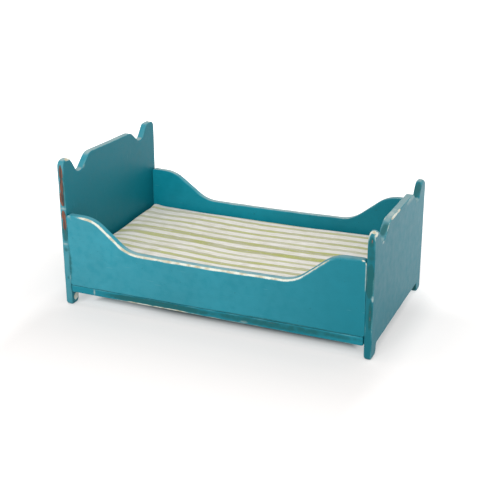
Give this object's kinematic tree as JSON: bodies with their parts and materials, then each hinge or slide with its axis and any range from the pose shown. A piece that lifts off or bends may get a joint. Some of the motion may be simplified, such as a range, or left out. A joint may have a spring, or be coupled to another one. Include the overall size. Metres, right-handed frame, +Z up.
{
  "type": "miniature doll's bed",
  "caption": "Low doll's house bed in teal painted plywood with scroll-cut head and foot boards, dipped side rails and a loose striped cotton mattress.",
  "frame": {"origin": "on the floor under the middle of the bed", "axes": "+X from the headboard to the footboard, +Y to the sleeper's left, +Z up"},
  "size_m": [0.18, 0.1024, 0.0855],
  "materials": {
    "teal_paint": "teal paint on sanded plywood, worn through to pale undercoat and brown wood along the edges",
    "striped_cotton": "plain-weave cotton, white with olive green woven stripes along the bed",
    "cotton_wadding": "loose white wadding",
    "bright_steel": "drawn wire"
  },
  "bodies": {
    "frame": {"headboard": "teal_paint", "footboard": "teal_paint", "side_rail_right": "teal_paint", "side_rail_left": "teal_paint", "base_board": "teal_paint", "pin_head_right_lower": "bright_steel", "pin_head_right_upper": "bright_steel", "pin_head_left_lower": "bright_steel", "pin_head_left_upper": "bright_steel", "pin_foot_right_lower": "bright_steel", "pin_foot_right_upper": "bright_steel", "pin_foot_left_lower": "bright_steel", "pin_foot_left_upper": "bright_steel", "pin_base_right_1": "bright_steel", "pin_base_right_2": "bright_steel", "pin_base_right_3": "bright_steel", "pin_base_right_4": "bright_steel", "pin_base_left_1": "bright_steel", "pin_base_left_2": "bright_steel", "pin_base_left_3": "bright_steel", "pin_base_left_4": "bright_steel"},
    "mattress": {"mattress_cover": "striped_cotton", "mattress_filling": "cotton_wadding"}
  },
  "joints": [
    {"name": "mattress_lift", "type": "slide", "parent": "frame", "child": "mattress", "axis": [0, 0, 1], "range_m": [0, 0.09]}
  ]
}
